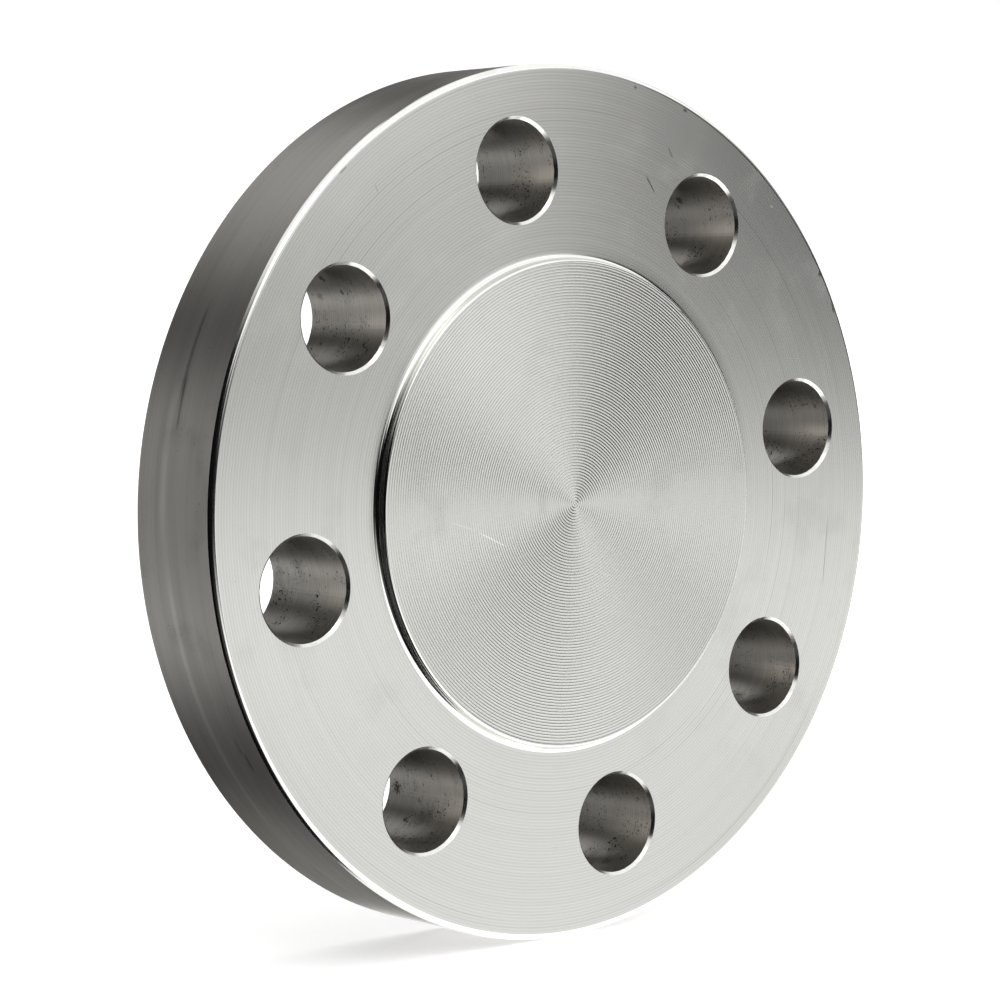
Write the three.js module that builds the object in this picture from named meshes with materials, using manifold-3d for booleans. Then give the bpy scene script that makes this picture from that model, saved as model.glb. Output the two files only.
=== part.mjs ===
// Blind flange, NPS 2, Class 300, raised face: a solid forged and turned disc with eight bolt holes.
// Millimetres, +Z up. The disc stands upright, its axis along Y, and its raised face looks towards -Y.
// The origin is the centre of the raised face, on the plane of the groove crests.
import * as THREE from "three";
import { mergeVertices } from "three/addons/utils/BufferGeometryUtils.js";
import Module from "manifold-3d";

// Driving dimensions
const flangeDiameter = 165.1;
const discThickness = 22.9; // from the flange face to the back face, without the raised face
const rimChamfer = 0.8; // the same on the front and back edges
const raisedFaceDiameter = 92.1;
const raisedFaceHeight = 2.0;
const raisedFaceEdgeRadius = 0.4; // the edge between the raised face and its wall
const footRadius = 1.1; // the fillet between that wall and the flange face
const boltCircleDiameter = 127.0;
const boltHoleDiameter = 19.05;
const boltHoleCount = 8;
const boltHoleEdgeBreak = 0.55;
const firstBoltHoleAngle = -11.6; // degrees clockwise from straight up, seen from the front

// How finely round shapes are faceted
const discSegments = 96;
const holeSegments = 32;
const edgeSteps = 2; // facets in the raised face's edge
const footSteps = 3; // facets in the foot fillet
const cutterMargin = 1; // how far a hole's cutter runs past each face

// Worked out from the above
const flangeRadius = flangeDiameter / 2;
const raisedFaceRadius = raisedFaceDiameter / 2;
const flangeFaceY = raisedFaceHeight;
const backFaceY = raisedFaceHeight + discThickness;

const wasm = await Module();
wasm.setup();

// A solid for cutting, from a closed geometry: only positions, shared vertices merged, no empty triangles.
function toSolid(geometry) {
  const bare = geometry.clone();
  bare.deleteAttribute("normal");
  bare.deleteAttribute("uv");
  const merged = mergeVertices(bare, 1e-5);
  const index = merged.index.array;
  const triangles = [];
  for (let i = 0; i < index.length; i += 3) {
    const [a, b, c] = index.slice(i, i + 3);
    if (a !== b && b !== c && c !== a) triangles.push(a, b, c);
  }
  const vertProperties = new Float32Array(merged.attributes.position.array);
  const triVerts = new Uint32Array(triangles);
  return new wasm.Manifold(new wasm.Mesh({ numProp: 3, vertProperties, triVerts }));
}

// The geometry of a solid, with flat facets.
function toGeometry(solid) {
  const mesh = solid.getMesh();
  const geometry = new THREE.BufferGeometry();
  geometry.setAttribute("position", new THREE.BufferAttribute(new Float32Array(mesh.vertProperties), 3));
  geometry.setIndex(new THREE.BufferAttribute(new Uint32Array(mesh.triVerts), 1));
  geometry.computeVertexNormals();
  return geometry;
}

// Points along an arc of the profile, as (radius from the axis, Y), from one angle to another in degrees.
function arcPoints(centre, radius, fromDegrees, toDegrees, steps) {
  const points = [];
  for (let i = 0; i <= steps; i++) {
    const angle = THREE.MathUtils.degToRad(fromDegrees + ((toDegrees - fromDegrees) * i) / steps);
    points.push(
      new THREE.Vector2(centre.x + radius * Math.cos(angle), centre.y + radius * Math.sin(angle))
    );
  }
  return points;
}

// The turned blank: half of its cross-section, swept once around the Y axis.
function turnedBlank() {
  const edgeCentre = new THREE.Vector2(raisedFaceRadius - raisedFaceEdgeRadius, raisedFaceEdgeRadius);
  const footCentre = new THREE.Vector2(raisedFaceRadius + footRadius, flangeFaceY - footRadius);
  const profile = [
    new THREE.Vector2(0, 0),
    ...arcPoints(edgeCentre, raisedFaceEdgeRadius, -90, 0, edgeSteps),
    ...arcPoints(footCentre, footRadius, 180, 90, footSteps),
    new THREE.Vector2(flangeRadius - rimChamfer, flangeFaceY),
    new THREE.Vector2(flangeRadius, flangeFaceY + rimChamfer),
    new THREE.Vector2(flangeRadius, backFaceY - rimChamfer),
    new THREE.Vector2(flangeRadius - rimChamfer, backFaceY),
    new THREE.Vector2(0, backFaceY),
  ];
  return toSolid(new THREE.LatheGeometry(profile, discSegments));
}

// The cutter for one bolt hole: the drilled wall, opening into a 45 degree edge break at both faces.
function boltHoleCutter() {
  const radius = boltHoleDiameter / 2;
  const mouthRadius = radius + boltHoleEdgeBreak + cutterMargin;
  const profile = [
    new THREE.Vector2(0, flangeFaceY - cutterMargin),
    new THREE.Vector2(mouthRadius, flangeFaceY - cutterMargin),
    new THREE.Vector2(radius, flangeFaceY + boltHoleEdgeBreak),
    new THREE.Vector2(radius, backFaceY - boltHoleEdgeBreak),
    new THREE.Vector2(mouthRadius, backFaceY + cutterMargin),
    new THREE.Vector2(0, backFaceY + cutterMargin),
  ];
  return new THREE.LatheGeometry(profile, holeSegments);
}

// The finished flange: the blank with its circle of bolt holes cut through.
function drilledFlange() {
  let flange = turnedBlank();
  for (let i = 0; i < boltHoleCount; i++) {
    const angle = THREE.MathUtils.degToRad(firstBoltHoleAngle + (360 * i) / boltHoleCount);
    const reach = boltCircleDiameter / 2;
    const cutter = boltHoleCutter().translate(reach * Math.sin(angle), 0, reach * Math.cos(angle));
    flange = flange.subtract(toSolid(cutter));
  }
  return toGeometry(flange);
}

const turnedSteel = new THREE.MeshStandardMaterial({ color: 0xb9bab7, roughness: 0.35, metalness: 1 });

const model = new THREE.Group();
const blindFlange = new THREE.Mesh(drilledFlange(), turnedSteel);
blindFlange.name = "blind_flange";
model.add(blindFlange);

export default model;
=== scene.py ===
import bmesh
import bpy
import math
import random
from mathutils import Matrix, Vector


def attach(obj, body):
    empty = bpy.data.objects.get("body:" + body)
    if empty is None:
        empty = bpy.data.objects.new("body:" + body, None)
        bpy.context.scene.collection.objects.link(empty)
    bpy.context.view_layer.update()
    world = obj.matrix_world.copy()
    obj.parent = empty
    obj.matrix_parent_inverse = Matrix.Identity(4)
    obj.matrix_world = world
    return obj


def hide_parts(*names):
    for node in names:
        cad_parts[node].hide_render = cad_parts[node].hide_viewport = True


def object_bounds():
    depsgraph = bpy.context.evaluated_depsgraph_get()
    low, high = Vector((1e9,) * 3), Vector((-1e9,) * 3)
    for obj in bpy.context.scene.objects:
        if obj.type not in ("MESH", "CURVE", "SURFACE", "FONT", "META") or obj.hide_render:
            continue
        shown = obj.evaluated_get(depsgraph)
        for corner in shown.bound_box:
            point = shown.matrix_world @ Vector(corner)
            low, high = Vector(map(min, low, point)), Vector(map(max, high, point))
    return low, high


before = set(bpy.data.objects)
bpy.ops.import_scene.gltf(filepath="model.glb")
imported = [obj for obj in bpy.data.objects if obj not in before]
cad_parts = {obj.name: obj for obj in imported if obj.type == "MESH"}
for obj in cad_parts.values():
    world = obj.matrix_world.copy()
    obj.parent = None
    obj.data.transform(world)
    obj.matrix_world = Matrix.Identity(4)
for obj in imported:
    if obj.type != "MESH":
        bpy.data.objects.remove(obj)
cadLow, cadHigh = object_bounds()
print("frame loaded:", sorted(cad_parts))

mm = 0.001

# The turned and drilled disc, in millimetres. It stands upright, its axis along Y and its raised face
# towards -Y, with the groove crests on y = 0.

disc = {
    "radius": (cadHigh.x - cadLow.x) / 2 / mm,
    "faceY": 2.0,  # the flange face; the raised face stands this far in front of it
    "backY": cadHigh.y / mm,
    "edgeRound": 1.15,  # filed edge of the rim, front and back
    "edgeSweep": 60,  # degrees that the filed edge turns through before it meets the rim
    "burr": 0.25,  # how far the filed edge stops short of the rim's full radius
    "rimSegments": 512,
    "edgeSteps": 5,
}

raised = {
    "radius": 46.05,
    "grooveRadius": 45.5,  # where the groove runs out, just inside the edge
    "pitch": 0.55,  # one turn of the groove, about 46 to the inch
    "noseRadius": 1.5,  # of the tool that cut it: with the pitch it gives the depth
    "turnSegments": 192,
    "crossSteps": 4,
    "edgeRound": 0.45,
    "footRound": 1.1,
    "footDish": 2.2,  # beyond the fillet the face still dips for this far
    "footTilt": 1.5,  # degrees, where the dip begins
    "roundSteps": 6,
}

hole = {
    "radius": 19.05 / 2,
    "circleRadius": 63.5,
    "count": 8,
    "firstAngle": -11.6,  # degrees clockwise from straight up, seen from the front
    "edgeBreak": 0.55,
    "ragged": 0.05,  # how unevenly the deburring tool took the edge off
    "seed": 12,
    "segments": 96,
    "wallRows": 6,
}

slots = ["serratedFace", "turnedEdge", "flangeFace", "rim", "rimEdge", "holeWall", "holeEdge", "backFace"]


def ringOf(bm, radius, y, count, centre=(0.0, 0.0)):
    # a ring of points round the Y axis, or round a hole's own axis, starting straight up
    ring = []
    for i in range(count):
        turn = 2 * math.pi * i / count
        x = centre[0] + radius * math.sin(turn)
        z = centre[1] + radius * math.cos(turn)
        ring.append(bm.verts.new((x * mm, y * mm, z * mm)))
    return ring


def bandBetween(bm, inner, outer, slot):
    # quads between two rings of the same count
    for i in range(len(inner)):
        j = (i + 1) % len(inner)
        f = bm.faces.new((inner[i], inner[j], outer[j], outer[i]))
        f.material_index = slots.index(slot)


def markSharp(bm, ring):
    for i in range(len(ring)):
        bm.edges.get((ring[i], ring[(i + 1) % len(ring)])).smooth = False


def fillFlat(bm, rings, slot):
    # a flat face between an outer ring and the rings inside it
    edges = [bm.edges.get((r[i], r[(i + 1) % len(r)])) for r in rings for i in range(len(r))]
    made = bmesh.ops.triangle_fill(bm, edges=edges, use_beauty=True)["geom"]
    for f in made:
        if isinstance(f, bmesh.types.BMFace):
            f.material_index = slots.index(slot)


def arc(radius, centreR, centreY, fromDeg, toDeg, steps):
    # (radius, y) points along a round stretch of the turned outline
    made = []
    for i in range(steps + 1):
        a = math.radians(fromDeg + (toDeg - fromDeg) * i / steps)
        made.append((centreR + radius * math.cos(a), centreY + radius * math.sin(a)))
    return made


def cutGroove(bm):
    # The facing is one spiral furrow between sharp crests, cut from the edge to the middle: a strip that
    # runs round and round, whose outer edge on one turn is its inner edge on the next. It's cut short at
    # the centre point and at the edge ring, where its points run together.
    segments, steps, pitch = raised["turnSegments"], raised["crossSteps"], raised["pitch"]
    depth = pitch ** 2 / (8 * raised["noseRadius"])
    known = {}

    def point(n, c):
        if c == steps:
            n, c = n + segments, 0
        r = pitch * (n / segments + c / steps)
        y = depth * (1 - (2 * c / steps - 1) ** 2)
        key = (n, c)
        if r < pitch / segments / 2:
            r, y, key = 0, depth / 2, "centre"
        elif r > raised["grooveRadius"] - pitch / steps / 2:
            r, y, key = raised["grooveRadius"], 0, ("edge", n % segments)
        if key not in known:
            turn = 2 * math.pi * n / segments
            known[key] = bm.verts.new((r * math.sin(turn) * mm, y * mm, r * math.cos(turn) * mm))
        return known[key]

    turns = math.ceil(raised["grooveRadius"] / pitch)
    for n in range(-segments, turns * segments):
        for c in range(steps):
            corners = [point(n, c), point(n + 1, c), point(n + 1, c + 1), point(n, c + 1)]
            corners = list(dict.fromkeys(corners))
            if len(corners) > 2:
                bm.faces.new(corners).material_index = slots.index("serratedFace")
    for n in range(turns * segments):
        edge = bm.edges.get((point(n, 0), point(n + 1, 0)))
        if edge:
            edge.smooth = False  # the crests are cusps
    return [known["edge", i] for i in range(segments)]


def turnRings(bm, outline, count, slot, start=None):
    # bands swept round the axis along an outline of (radius, y) points; returns the last ring
    rings = [start] if start else [ringOf(bm, *outline[0], count)]
    for radius, y in outline[1:] if not start else outline:
        rings.append(ringOf(bm, radius, y, count))
        bandBetween(bm, rings[-2], rings[-1], slot)
    return rings[0], rings[-1]


def drillHole(bm, turn, rng):
    # one bolt hole: wall and the edge breaks at both mouths; returns the two mouth rings
    centre = (hole["circleRadius"] * math.sin(turn), hole["circleRadius"] * math.cos(turn))
    r, b, count = hole["radius"], hole["edgeBreak"], hole["segments"]
    front, back = disc["faceY"], disc["backY"]

    def ragged(ring):
        for v in ring:
            v.co.y += rng.uniform(-1, 1) * hole["ragged"] * mm

    mouth = ringOf(bm, r + b, front, count, centre)
    lip = ringOf(bm, r, front + b, count, centre)
    ragged(lip)
    bandBetween(bm, lip, mouth, "holeEdge")
    rings = [lip]
    for i in range(1, hole["wallRows"]):
        y = front + b + (back - front - 2 * b) * i / hole["wallRows"]
        rings.append(ringOf(bm, r, y, count, centre))
        bandBetween(bm, rings[-1], rings[-2], "holeWall")
    backLip = ringOf(bm, r, back - b, count, centre)
    ragged(backLip)
    bandBetween(bm, backLip, rings[-1], "holeWall")
    backMouth = ringOf(bm, r + b, back, count, centre)
    bandBetween(bm, backMouth, backLip, "holeEdge")
    for ring in (mouth, lip, backLip, backMouth):
        markSharp(bm, ring)
    return mouth, backMouth


def makeFlange():
    bm = bmesh.new()
    rng = random.Random(hole["seed"])
    grooveEdge = cutGroove(bm)

    # raised face's rounded edge, wall and foot, out to the flange face
    er, fr = raised["edgeRound"], raised["footRound"]
    tilt, width, steps = raised["footTilt"], raised["footDish"], raised["roundSteps"]
    dip = width * math.tan(math.radians(tilt)) / 2
    footY = disc["faceY"] - dip - fr * math.cos(math.radians(tilt))
    edgeArc = arc(er, raised["radius"] - er, er, -90, 0, steps)
    footArc = arc(fr, raised["radius"] + fr, footY, 180, 90 + tilt, steps)
    footR = footArc[-1][0]
    dish = []
    for i in range(1, steps + 1):
        dish.append((footR + width * i / steps, disc["faceY"] - dip * (1 - i / steps) ** 2))
    count = raised["turnSegments"]
    foot = turnRings(bm, edgeArc + footArc, count, "turnedEdge", grooveEdge)[1]
    foot = turnRings(bm, dish, count, "flangeFace", foot)[1]

    # rim with its filed edges
    fe, sweep = disc["edgeRound"], disc["edgeSweep"]
    frontEdge = arc(fe, disc["radius"] - fe, disc["faceY"] + fe, -90, sweep - 90, disc["edgeSteps"])
    backEdge = arc(fe, disc["radius"] - fe, disc["backY"] - fe, 90 - sweep, 90, disc["edgeSteps"])
    rimFront = (disc["radius"], frontEdge[-1][1] + disc["burr"])
    rimBack = (disc["radius"], backEdge[0][1] - disc["burr"])
    count = disc["rimSegments"]
    faceRing, last = turnRings(bm, frontEdge + [rimFront], count, "rimEdge")
    markSharp(bm, last)
    last = turnRings(bm, [rimBack], count, "rim", last)[1]
    markSharp(bm, last)
    backRing = turnRings(bm, backEdge, count, "rimEdge", last)[1]

    mouths, backMouths = [], []
    for i in range(hole["count"]):
        turn = math.radians(hole["firstAngle"] + 360 * i / hole["count"])
        mouth, backMouth = drillHole(bm, turn, rng)
        mouths.append(mouth)
        backMouths.append(backMouth)
    fillFlat(bm, [foot, faceRing, *mouths], "flangeFace")
    fillFlat(bm, [backRing, *backMouths], "backFace")
    bmesh.ops.recalc_face_normals(bm, faces=bm.faces)

    mesh = bpy.data.meshes.new("turned_flange")
    for f in bm.faces:
        f.smooth = True
    bm.to_mesh(mesh)
    loose = sum(1 for e in bm.edges if len(e.link_faces) != 2)
    print("flange mesh:", len(bm.faces), "faces,", loose, "open edges, volume",
          round(bm.calc_volume() * 1e6, 2), "cm3")
    bm.free()
    made = bpy.data.objects.new("turned_flange", mesh)
    bpy.context.scene.collection.objects.link(made)
    weighted = made.modifiers.new("flat faces stay flat", "WEIGHTED_NORMAL")
    weighted.keep_sharp = True
    return made


flange = makeFlange()
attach(flange, "root")
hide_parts("blind_flange")


def linear(hexColour):
    # an sRGB hex colour as linear RGBA
    parts = [int(hexColour[i:i + 2], 16) / 255 for i in (1, 3, 5)]
    return [c / 12.92 if c <= 0.04045 else ((c + 0.055) / 1.055) ** 2.4 for c in parts] + [1.0]


def addNode(tree, kind, inputs=None, **settings):
    # adds a node with its settings; an input takes a value, or a link from a node or from one of its outputs
    made = tree.nodes.new(kind)
    for name, value in settings.items():
        setattr(made, name, value)
    for name, value in (inputs or {}).items():
        if isinstance(value, bpy.types.Node):
            value = value.outputs[0]
        if isinstance(value, bpy.types.NodeSocket):
            tree.links.new(value, made.inputs[name])
        else:
            made.inputs[name].default_value = value
    return made


def millimetres(tree):
    # where a point is on the object, in mm, and how far it is from the disc's axis
    coords = addNode(tree, "ShaderNodeTexCoord")
    place = addNode(tree, "ShaderNodeVectorMath", {0: coords.outputs["Object"], "Scale": 1000.0},
                    operation="SCALE")
    flat = addNode(tree, "ShaderNodeVectorMath", {0: place, 1: (1, 0, 1)}, operation="MULTIPLY")
    radius = addNode(tree, "ShaderNodeVectorMath", {0: flat}, operation="LENGTH").outputs["Value"]
    depth = addNode(tree, "ShaderNodeSeparateXYZ", {0: place}).outputs["Y"]
    return place, flat, radius, depth


def streaks(tree, flat, across, width, length):
    # noise drawn out along the tool's path: `width` mm across the streaks and `length` mm along them
    along = addNode(tree, "ShaderNodeVectorMath", {0: flat, "Scale": 1 / length}, operation="SCALE")
    step = addNode(tree, "ShaderNodeMath", {0: across, 1: 1 / width}, operation="MULTIPLY")
    side = addNode(tree, "ShaderNodeCombineXYZ", {"Y": step})
    vector = addNode(tree, "ShaderNodeVectorMath", {0: along, 1: side}, operation="ADD")
    return addNode(tree, "ShaderNodeTexNoise",
                   {"Vector": vector, "Scale": 1.0, "Detail": 2.0, "Roughness": 0.6})


# where each mask sets in: pairs are the values at which it starts and is full
masks = {
    "hairs": (0.66, 0.72),
    "soil": (0.5, 0.72),
    "soiledZones": (0.42, 0.58),  # specks gather in and beside the soil
    "speckEdge": 0.04,
    "upward": (0.1, 0.24),  # of the surface's direction, from level to straight up, where the painted shade on up-facing walls sets in
    "scratchCore": 0.4,  # of half its width and half its length, before it fades
    "stainWobble": 3,  # these two are times the stain's size
    "stainEdge": (1.9, 2.6),
}


def scratchMask(tree, place, lay, scratch):
    # 1 along the middle of a straight mark, fading at its ends
    x, y, z, turn, length, width = scratch[:6]
    a = math.radians(turn)
    along = (math.sin(a), 0, math.cos(a))
    across = (math.cos(a), 0, -math.sin(a)) if lay == "face" else (0, 1, 0)
    moved = addNode(tree, "ShaderNodeVectorMath", {0: place, 1: (x, y, z)}, operation="SUBTRACT")
    sides = []
    for direction, half in ((along, length / 2), (across, width / 2)):
        dot = addNode(tree, "ShaderNodeVectorMath", {0: moved, 1: direction}, operation="DOT_PRODUCT")
        away = addNode(tree, "ShaderNodeMath", {0: dot.outputs["Value"]}, operation="ABSOLUTE")
        sides.append(addNode(tree, "ShaderNodeMapRange",
                             {"Value": away, "From Min": half * masks["scratchCore"], "From Max": half,
                              "To Min": 1.0, "To Max": 0.0}, interpolation_type="SMOOTHSTEP"))
    return addNode(tree, "ShaderNodeMath", {0: sides[0], 1: sides[1]}, operation="MULTIPLY")


def stainMask(tree, place, wobble, stain):
    # 1 inside a ragged blot, where a drop dried on
    x, y, z, size = stain[:4]
    inner, outer = masks["stainEdge"]
    away = addNode(tree, "ShaderNodeVectorMath", {0: place, 1: (x, y, z)}, operation="DISTANCE")
    ragged = addNode(tree, "ShaderNodeMath",
                     {0: wobble, 1: size * masks["stainWobble"], 2: away.outputs["Value"]},
                     operation="MULTIPLY_ADD")
    return addNode(tree, "ShaderNodeMapRange",
                   {"Value": ragged, "From Min": size * inner, "From Max": size * outer,
                    "To Min": 1.0, "To Max": 0.0}, interpolation_type="SMOOTHSTEP")


def makeSteel(name, look):
    # bare stainless steel; what differs is the colour of its film, the marks that the tool left, and on some a
    # painted shade where the surface faces up
    material = bpy.data.materials.new(name)
    material.use_nodes = True
    tree = material.node_tree
    tree.nodes.clear()
    place, flat, radius, depth = millimetres(tree)
    across = radius if look["lay"] == "face" else depth

    marks = streaks(tree, flat, across, look["markWidth"], look["markLength"])
    bands = streaks(tree, flat, across, look["bandWidth"], look["bandLength"])
    hairs = addNode(tree, "ShaderNodeMapRange",
                    {"Value": streaks(tree, flat, across, look["hairWidth"], look["hairLength"]),
                     "From Min": masks["hairs"][0], "From Max": masks["hairs"][1]},
                    interpolation_type="SMOOTHSTEP")
    turns = addNode(tree, "ShaderNodeMath", {0: across, 1: 2 * math.pi / look["feed"]}, operation="MULTIPLY")
    feed = addNode(tree, "ShaderNodeMath", {0: turns}, operation="SINE")
    smudges = addNode(tree, "ShaderNodeTexNoise", {"Vector": place, "Scale": 1 / look["smudgeSize"],
                                                   "Detail": 4.0, "Roughness": 0.55})
    soil = addNode(tree, "ShaderNodeMapRange",
                   {"Value": smudges, "From Min": masks["soil"][0], "From Max": masks["soil"][1]},
                   interpolation_type="SMOOTHSTEP")
    specks = addNode(tree, "ShaderNodeTexNoise", {"Vector": place, "Scale": 1 / look["speckSize"],
                                                  "Detail": 2.0, "Roughness": 0.5})
    spots = addNode(tree, "ShaderNodeMapRange", {"Value": specks, "From Min": look["speckFrom"],
                                                 "From Max": look["speckFrom"] + masks["speckEdge"]},
                    interpolation_type="SMOOTHSTEP")
    where = addNode(tree, "ShaderNodeMapRange",
                    {"Value": smudges, "From Min": masks["soiledZones"][0],
                     "From Max": masks["soiledZones"][1]},
                    interpolation_type="SMOOTHSTEP")
    patchy = addNode(tree, "ShaderNodeMath", {0: spots, 1: where}, operation="MULTIPLY")

    # each mark adds its own tone to the plain steel's
    toned = [(marks, look["markTone"]), (bands, look["bandTone"]), (hairs, look["hairTone"]),
             (feed, look["feedTone"]), (soil, look["smudgeTone"]), (patchy, look["speckTone"])]
    for scratch in look.get("scratches", []):
        toned.append((scratchMask(tree, place, look["lay"], scratch), scratch[-1]))
    # painted shade: the colour is darkened where the surface faces up, for the dark room that it mirrors
    if "paintedShadeFacingUp" in look:
        facing = addNode(tree, "ShaderNodeNewGeometry").outputs["True Normal"]
        upward = addNode(tree, "ShaderNodeSeparateXYZ", {0: facing}).outputs["Z"]
        paintedShadeMask = addNode(tree, "ShaderNodeMapRange",
                        {"Value": upward, "From Min": masks["upward"][0], "From Max": masks["upward"][1]},
                        interpolation_type="SMOOTHSTEP")
        toned.append((paintedShadeMask, look["paintedShadeFacingUp"]))
    toned += [(stainMask(tree, place, specks, stain), stain[-1]) for stain in look.get("stains", [])]
    tone = 1 - (look["markTone"] + look["bandTone"]) / 2
    for mask, amount in toned:
        tone = addNode(tree, "ShaderNodeMath", {0: mask, 1: amount, 2: tone}, operation="MULTIPLY_ADD")
    colour = addNode(tree, "ShaderNodeVectorMath", {0: linear(look["colour"])[:3], "Scale": tone.outputs[0]},
                     operation="SCALE")
    roughness = addNode(tree, "ShaderNodeMath", {0: soil, 1: look["smudgeRough"], 2: look["roughness"]},
                        operation="MULTIPLY_ADD")
    height = addNode(tree, "ShaderNodeMath", {0: feed, 1: look["feedDepth"], 2: marks.outputs[0]},
                     operation="MULTIPLY_ADD")
    bump = addNode(tree, "ShaderNodeBump",
                   {"Height": height, "Strength": 1.0, "Distance": look["markDepth"] * mm})

    if look["lay"] == "face":
        along = addNode(tree, "ShaderNodeTangent", direction_type="RADIAL", axis="Y")
    else:
        geometry = addNode(tree, "ShaderNodeNewGeometry")
        along = addNode(tree, "ShaderNodeVectorMath", {0: geometry.outputs["True Normal"], 1: (0, 1, 0)},
                        operation="CROSS_PRODUCT")
    shader = addNode(tree, "ShaderNodeBsdfPrincipled",
                     {"Base Color": colour, "Roughness": roughness, "Normal": bump, "Tangent": along,
                      "Metallic": 1.0, "Anisotropic": look["anisotropy"], "Anisotropic Rotation": 0.25})
    addNode(tree, "ShaderNodeOutputMaterial", {"Surface": shader})
    return material


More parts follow.
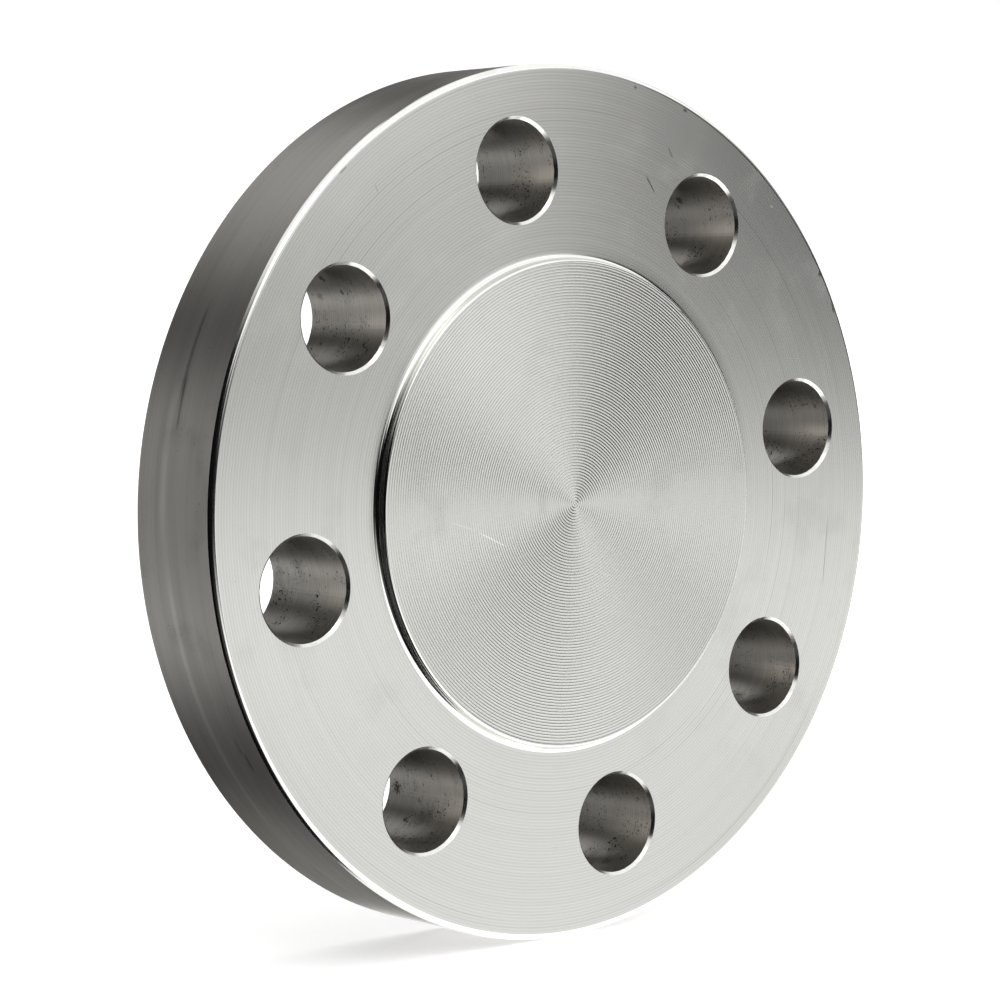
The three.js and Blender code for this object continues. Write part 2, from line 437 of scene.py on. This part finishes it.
# All lengths are mm. A tone is what a mark adds to the steel's reflection: under 0 it's darker.
# A scratch is its x, y, z, direction in degrees clockwise from straight up, length, width and tone.
# A stain is its x, y, z, size and tone.
finishes = {
    # the facing tool left the bottom of each groove burnished, so every furrow mirrors the room by itself
    "serratedFace": ("stainlessSpiralFaced", {
        "colour": "#cdcdc9", "roughness": 0.18, "anisotropy": 0.35, "lay": "face",
        "markWidth": 0.8, "markLength": 30, "markTone": 0.05, "markDepth": 0.0001,
        "feed": 0.55, "feedTone": 0.0, "feedDepth": 0.0,
        "bandWidth": 9, "bandLength": 40, "bandTone": 0.05,
        "hairWidth": 0.5, "hairLength": 60, "hairTone": 0.05,
        "smudgeSize": 14, "smudgeTone": -0.03, "smudgeRough": 0.03,
        "speckSize": 0.55, "speckFrom": 0.75, "speckTone": -0.35,
        "scratches": [(-20.3, 0, -5.8, -66, 9, 0.42, 0.3), (-27.5, 0, -3.0, -73, 7, 0.3, 0.1),
                      (-8.3, 0, 1.0, 0, 7, 2.6, -0.07)],
        "stains": [(-0.1, 0, -13.2, 0.2, -0.5), (19.5, 0, -7.2, 0.2, -0.4)]}),
    # filed and rubbed smooth: near mirror, it catches the room as thin white and black lines
    "turnedEdge": ("stainlessRubbedEdge", {
        "colour": "#dcdcd8", "roughness": 0.11, "anisotropy": 0.3, "lay": "face",
        "markWidth": 0.5, "markLength": 40, "markTone": 0.05, "markDepth": 0.0001,
        "feed": 0.5, "feedTone": 0.0, "feedDepth": 0.0,
        "bandWidth": 4, "bandLength": 30, "bandTone": 0.04,
        "hairWidth": 0.4, "hairLength": 30, "hairTone": -0.05,
        "smudgeSize": 10, "smudgeTone": -0.04, "smudgeRough": 0.03,
        "speckSize": 0.5, "speckFrom": 0.72, "speckTone": -0.2}),
    # a finishing cut: satin rings that stretch the highlights outward; its feed is drawn coarser than such a
    # cut's, so that it shows
    "flangeFace": ("stainlessFineTurned", {
        "colour": "#cdcdc9", "roughness": 0.22, "anisotropy": 0.5, "lay": "face",
        "markWidth": 0.7, "markLength": 120, "markTone": 0.11, "markDepth": 0.0004,
        "feed": 0.6, "feedTone": 0.045, "feedDepth": 0.3,
        "bandWidth": 5, "bandLength": 50, "bandTone": 0.04,
        "hairWidth": 0.45, "hairLength": 130, "hairTone": -0.15,
        "smudgeSize": 12, "smudgeTone": -0.02, "smudgeRough": 0.03,
        "speckSize": 0.5, "speckFrom": 0.735, "speckTone": -0.3,
        "scratches": [(21.1, 2, 60.6, -36, 4.6, 0.42, -0.6), (26.4, 2, 66.8, -30, 2.8, 0.38, -0.4),
                      (68.7, 2, 44.4, 27, 3.0, 1.3, -0.7), (72.3, 2, 37.3, -15, 3.4, 0.9, -0.6),
                      (-53.7, 2, 61.3, 51, 2.4, 1.2, -0.4), (30.3, 2, 75.1, -70, 1.2, 0.9, -0.5),
                      (17.1, 2, 78.9, -60, 0.9, 0.7, -0.5), (-20.5, 2, 66.5, -35, 2.2, 0.3, -0.22),
                      (-46.0, 2, 58.0, -25, 2.0, 0.35, -0.2), (70.5, 2, -12.5, 6, 16, 0.35, -0.3),
                      (54.4, 2, 57.1, -36, 0.7, 0.5, 0.6)]}),
    # a plain cut along the rim, handled and rolled about since: darker, banded and lightly soiled
    "rim": ("stainlessTurnedRim", {
        "colour": "#b3b0ab", "roughness": 0.36, "anisotropy": 0.7, "lay": "wall",
        "markWidth": 0.4, "markLength": 30, "markTone": 0.16, "markDepth": 0.0008,
        "feed": 0.6, "feedTone": 0.02, "feedDepth": 0.2,
        "bandWidth": 4.0, "bandLength": 110, "bandTone": 0.55,
        "hairWidth": 0.5, "hairLength": 60, "hairTone": -0.15,
        "smudgeSize": 9, "smudgeTone": -0.1, "smudgeRough": 0.04,
        "speckSize": 0.55, "speckFrom": 0.67, "speckTone": -0.3,
        "scratches": [(-76.8, 14.5, 28.6, 20, 24, 1.3, -0.42), (-79.6, 14.0, 20.5, 14, 12, 1.0, -0.4),
                      (-80.9, 16.6, 10.0, 7, 34, 2.6, 0.18), (-77.1, 15.4, -27.0, -19, 44, 2.0, 0.2),
                      (-66.5, 15.4, -48.5, -36, 24, 1.4, 0.2), (-46.4, 15.3, -68.1, -56, 18, 0.7, -0.35),
                      (-70.4, 7.8, -43.2, -33, 5, 1.2, -0.4), (-72.0, 8.8, -40.3, -30, 4, 0.8, -0.3)]}),
    "rimEdge": ("stainlessFiledRimEdge", {
        "colour": "#dcdcd8", "roughness": 0.14, "anisotropy": 0.3, "lay": "face",
        "markWidth": 0.4, "markLength": 15, "markTone": 0.08, "markDepth": 0.0004,
        "feed": 0.5, "feedTone": 0.0, "feedDepth": 0.0,
        "bandWidth": 4, "bandLength": 30, "bandTone": 0.05,
        "hairWidth": 0.4, "hairLength": 12, "hairTone": -0.1,
        "smudgeSize": 8, "smudgeTone": -0.06, "smudgeRough": 0.04,
        "speckSize": 0.5, "speckFrom": 0.68, "speckTone": -0.25}),
    # a twist drill's rubbed wall: rings at each turn, brownish film, specks of baked coolant, and a painted
    # shade on the lower half of each bore
    "holeWall": ("stainlessDrilled", {
        "colour": "#c3bfb8", "roughness": 0.34, "anisotropy": 0.5, "lay": "wall",
        "markWidth": 0.5, "markLength": 11, "markTone": 0.4, "markDepth": 0.0016,
        "feed": 0.62, "feedTone": 0.05, "feedDepth": 0.2,
        "bandWidth": 5, "bandLength": 8, "bandTone": 0.16,
        "hairWidth": 0.35, "hairLength": 9, "hairTone": 0.16,
        "smudgeSize": 5, "smudgeTone": -0.22, "smudgeRough": 0.1,
        "speckSize": 0.5, "speckFrom": 0.6, "speckTone": -0.6,
        "paintedShadeFacingUp": -0.24,  # painted shade: darkens the lower half of each bore, where the wall faces up and mirrors the dark room above
        "stains": [(42.6, 16.3, 58.4, 0.95, -0.6), (43.4, 17.4, 57.2, 0.5, -0.5),
                   (-46.9, 17.0, 42.2, 0.8, -0.8), (-44.3, 20.8, 38.9, 0.8, -0.45),
                   (-44.7, 13.8, 39.7, 0.6, -0.7), (-52.9, 10.6, -15.0, 0.35, -0.7),
                   (-25.5, 22.2, -53.7, 1.3, -0.8), (-26.6, 12.0, -57.5, 2.6, -0.25),
                   (-27.5, 17.0, -59.0, 0.5, -0.6), (20.5, 16.0, -58.5, 0.5, -0.5),
                   (21.8, 12.0, -61.5, 0.6, -0.45)]}),
    "holeEdge": ("stainlessDeburred", {
        "colour": "#d6d6d2", "roughness": 0.2, "anisotropy": 0.0, "lay": "wall",
        "markWidth": 0.4, "markLength": 2, "markTone": 0.2, "markDepth": 0.002,
        "feed": 0.5, "feedTone": 0.0, "feedDepth": 0.0,
        "bandWidth": 4, "bandLength": 6, "bandTone": 0.1,
        "hairWidth": 0.4, "hairLength": 2, "hairTone": -0.2,
        "smudgeSize": 3, "smudgeTone": -0.12, "smudgeRough": 0.08,
        "speckSize": 0.5, "speckFrom": 0.66, "speckTone": -0.4}),
    # the back was faced with a quicker feed, so its rings are wider and plainer to see
    "backFace": ("stainlessCoarseTurned", {
        "colour": "#a5a39e", "roughness": 0.5, "anisotropy": 0.4, "lay": "face",
        "markWidth": 1.2, "markLength": 60, "markTone": 0.22, "markDepth": 0.002,
        "feed": 0.9, "feedTone": 0.1, "feedDepth": 0.5,
        "bandWidth": 7, "bandLength": 60, "bandTone": 0.2,
        "hairWidth": 0.6, "hairLength": 130, "hairTone": -0.2,
        "smudgeSize": 14, "smudgeTone": -0.08, "smudgeRough": 0.05,
        "speckSize": 0.6, "speckFrom": 0.72, "speckTone": -0.3}),
}
for slot in slots:
    flange.data.materials.append(makeSteel(*finishes[slot]))
print("materials:", len(slots))


camera = {
    "lens": 110.5,  # mm
    "sensor": 36,
    "clip": (0.01, 50),  # metres
    "azimuth": -40.71,  # degrees; 0 looks along +Y
    "elevation": 3.48,
    "distance": 579.5,  # mm from the point it aims at
    "aim": (-9.8, 10.4, 0.7),
}


def makeCamera():
    data = bpy.data.cameras.new("camera")
    data.lens = camera["lens"]
    data.sensor_width = camera["sensor"]
    data.clip_start, data.clip_end = camera["clip"]
    made = bpy.data.objects.new("camera", data)
    a, e = math.radians(camera["azimuth"]), math.radians(camera["elevation"])
    towards = Vector((math.sin(a) * math.cos(e), -math.cos(a) * math.cos(e), math.sin(e)))
    made.location = (Vector(camera["aim"]) + towards * camera["distance"]) * mm
    made.rotation_euler = (math.pi / 2 - e, 0, a)
    bpy.context.scene.collection.objects.link(made)
    bpy.context.scene.camera = made


makeCamera()


stage = {
    "floorRadius": 1.6,  # metres
    "coveRadius": 0.6,
    "wallHeight": 2.2,
    "segments": 96,
    "coveSteps": 12,
    "glow": 0.52,  # the paper's own light, enough to come out white by itself
}


def makeCove():
    # one plain pale sweep: a round floor under the disc that curves up into a wall all round
    bm = bmesh.new()
    floorZ = cadLow.z
    outline = [(0.0, floorZ), (stage["floorRadius"], floorZ)]
    for i in range(1, stage["coveSteps"] + 1):
        a = math.radians(90 * i / stage["coveSteps"])
        outline.append((stage["floorRadius"] + stage["coveRadius"] * math.sin(a),
                        floorZ + stage["coveRadius"] * (1 - math.cos(a))))
    outline.append((outline[-1][0], floorZ + stage["wallHeight"]))
    centre = bm.verts.new((0, 0, floorZ))
    rings = []
    for radius, z in outline[1:]:
        ring = []
        for i in range(stage["segments"]):
            t = 2 * math.pi * i / stage["segments"]
            ring.append(bm.verts.new((radius * math.cos(t), radius * math.sin(t), z)))
        rings.append(ring)
    count = stage["segments"]
    for i in range(count):
        bm.faces.new((centre, rings[0][i], rings[0][(i + 1) % count]))
    for inner, outer in zip(rings, rings[1:]):
        for i in range(count):
            j = (i + 1) % count
            bm.faces.new((inner[i], outer[i], outer[j], inner[j]))
    mesh = bpy.data.meshes.new("cove")
    for f in bm.faces:
        f.smooth = True
    bm.to_mesh(mesh)
    bm.free()
    made = bpy.data.objects.new("cove", mesh)
    bpy.context.scene.collection.objects.link(made)
    paper = bpy.data.materials.new("whitePaper")
    paper.use_nodes = True
    shader = paper.node_tree.nodes["Principled BSDF"]
    shader.inputs["Base Color"].default_value = linear("#f2f2f2")
    shader.inputs["Roughness"].default_value = 0.9
    shader.inputs["Emission Color"].default_value = (1, 1, 1, 1)
    shader.inputs["Emission Strength"].default_value = stage["glow"]
    mesh.materials.append(paper)
    made.visible_glossy = False  # the steel mirrors the lights and the room, not the paper
    made.visible_shadow = False
    made.visible_diffuse = False


makeCove()

darkRoom = 0.003  # brightness between the panels

softboxes = [
    # azimuth and elevation of the middle, half width, half height, softness of the side edges and of the top
    # and bottom edges, brightness; angles are degrees seen from the disc, with azimuth 0 straight in front and
    # 90 to the right
    ("overhead", 40, 56, 84, 35, 3.5, 3.5, 1.35),
    ("overheadLeft", -108, 71, 91, 27, 13, 13, 1.2),
    ("frontCard", 17, 19, 28, 12.5, 3, 3, 0.77),
    ("ridge", 33.5, 6, 8, 3.3, 3.6, 3.6, 1.36),
    ("horizon", 43, -5.5, 21, 3.5, 3, 3, 1.37),
    ("tableFront", 27, -37.5, 48.5, 24, 9.5, 9.5, 2.0),
    ("tableRight", 113.5, -23.5, 31, 31.5, 3, 3, 2.4),
    ("tableUnder", 100, -74.5, 120, 18.5, 6, 3, 1.37),
    ("rightWall", 98, 15, 30, 3.5, 5, 5, 0.56),
    ("behind", -177, -5, 21, 18.7, 14, 8, 2.4),
    ("leftCard", -48, -30, 14, 12, 9, 8, 0.08),  # keeps the faces from going black as seen from the right
]


def lightRoom():
    # a dark room with soft-edged lit panels round the disc; everything else stays nearly black
    world = bpy.data.worlds.new("room")
    bpy.context.scene.world = world
    world.use_nodes = True
    tree = world.node_tree
    tree.nodes.clear()
    coords = addNode(tree, "ShaderNodeTexCoord")
    axes = addNode(tree, "ShaderNodeSeparateXYZ", {"Vector": coords.outputs["Generated"]}).outputs
    forward = addNode(tree, "ShaderNodeMath", {0: axes["Y"], 1: -1.0}, operation="MULTIPLY")
    azimuth = addNode(tree, "ShaderNodeMath", {0: axes["X"], 1: forward}, operation="ARCTAN2")
    elevation = addNode(tree, "ShaderNodeMath", {0: axes["Z"]}, operation="ARCSINE")
    total = darkRoom
    for name, az, el, halfWidth, halfHeight, sideSoft, topSoft, brightness in softboxes:
        sides = []
        for angle, middle, half, soft in ((azimuth, az, halfWidth, sideSoft),
                                          (elevation, el, halfHeight, topSoft)):
            away = addNode(tree, "ShaderNodeMath", {0: angle, 1: math.radians(middle)}, operation="SUBTRACT")
            wrapped = addNode(tree, "ShaderNodeMath", {0: away, 1: math.pi, 2: -math.pi}, operation="WRAP")
            size = addNode(tree, "ShaderNodeMath", {0: wrapped}, operation="ABSOLUTE")
            sides.append(addNode(tree, "ShaderNodeMapRange",
                                 {"Value": size, "From Min": math.radians(half - soft),
                                  "From Max": math.radians(half + soft), "To Min": 1.0, "To Max": 0.0},
                                 interpolation_type="SMOOTHSTEP"))
        lit = addNode(tree, "ShaderNodeMath", {0: sides[0], 1: sides[1]}, operation="MULTIPLY")
        total = addNode(tree, "ShaderNodeMath", {0: lit, 1: brightness, 2: total}, operation="MULTIPLY_ADD",
                        label=name)
    background = addNode(tree, "ShaderNodeBackground", {"Color": total})
    addNode(tree, "ShaderNodeOutputWorld", {"Surface": background})


lightRoom()
bpy.context.scene.view_settings.view_transform = "Standard"
